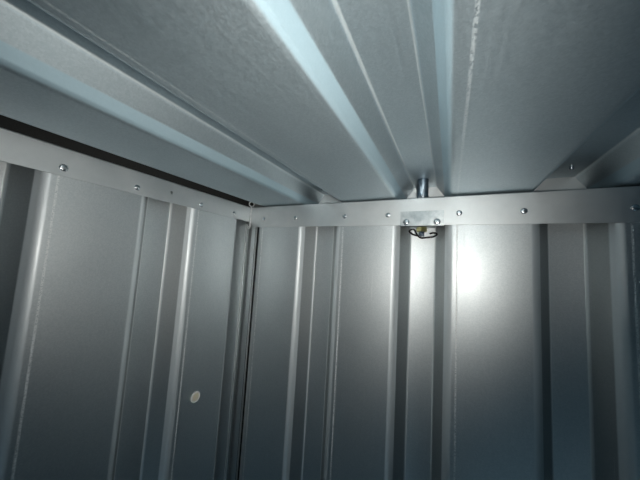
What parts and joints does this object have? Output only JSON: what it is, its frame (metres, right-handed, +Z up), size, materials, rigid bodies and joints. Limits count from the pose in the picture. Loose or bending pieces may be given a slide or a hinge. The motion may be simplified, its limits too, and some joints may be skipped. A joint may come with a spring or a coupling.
{
  "type": "storage container",
  "caption": "Walk-in storage container of ribbed galvanised sheet in a folded steel frame, with a plywood floor and closed double doors, for keeping goods and tools under lock.",
  "frame": {"origin": "centre of the bounding box at ground level", "axes": "+Z up, +Y towards the back wall, the double door faces -Y, +X to the right seen from the door"},
  "size_m": [2.1672, 3.0546, 2.1521],
  "materials": {
    "galvanised_frame": "galvanised folded steel, smooth, satin",
    "galvanised_sheet": "hot-dip galvanised sheet, fine spangle, satin",
    "plug_plastic": "moulded plastic, matt",
    "plywood": "film faced plywood, matt",
    "seal_foam": "closed-cell foam strip, matt",
    "zinc_plated_fittings": "zinc plated, satin"
  },
  "bodies": {
    "root": {"back_wall_sheet_left": "galvanised_sheet", "back_wall_sheet_right": "galvanised_sheet", "base_rail_back": "galvanised_frame", "base_rail_front": "galvanised_frame", "base_rail_left": "galvanised_frame", "base_rail_right": "galvanised_frame", "corner_pins": "zinc_plated_fittings", "corner_post_back_left": "galvanised_frame", "corner_post_back_right": "galvanised_frame", "corner_post_front_left": "galvanised_frame", "corner_post_front_right": "galvanised_frame", "cross_members": "galvanised_frame", "door_bars": "galvanised_frame", "door_header": "galvanised_frame", "door_jambs": "galvanised_frame", "door_panels_left": "galvanised_sheet", "door_panels_right": "galvanised_sheet", "door_sill_stop": "galvanised_frame", "door_stiles": "galvanised_frame", "fascia_back": "galvanised_frame", "fascia_front": "galvanised_frame", "fascia_left": "galvanised_frame", "fascia_right": "galvanised_frame", "floor_boards": "plywood", "hinge_halves_on_leaves": "zinc_plated_fittings", "hinge_halves_on_posts": "zinc_plated_fittings", "left_wall_sheet_back": "galvanised_sheet", "left_wall_sheet_front": "galvanised_sheet", "left_wall_sheet_middle": "galvanised_sheet", "lever_catch": "zinc_plated_fittings", "lock_bar": "zinc_plated_fittings", "lock_guides": "zinc_plated_fittings", "right_wall_sheet_back": "galvanised_sheet", "right_wall_sheet_front": "galvanised_sheet", "right_wall_sheet_middle": "galvanised_sheet", "roof_seals": "seal_foam", "roof_sheet_left": "galvanised_sheet", "roof_sheet_right": "galvanised_sheet", "tie_bolts": "zinc_plated_fittings", "tie_plates": "zinc_plated_fittings", "top_rail_back": "galvanised_frame", "top_rail_front": "galvanised_frame", "top_rail_left": "galvanised_frame", "top_rail_right": "galvanised_frame", "wall_plug": "plug_plastic"}
  },
  "joints": []
}
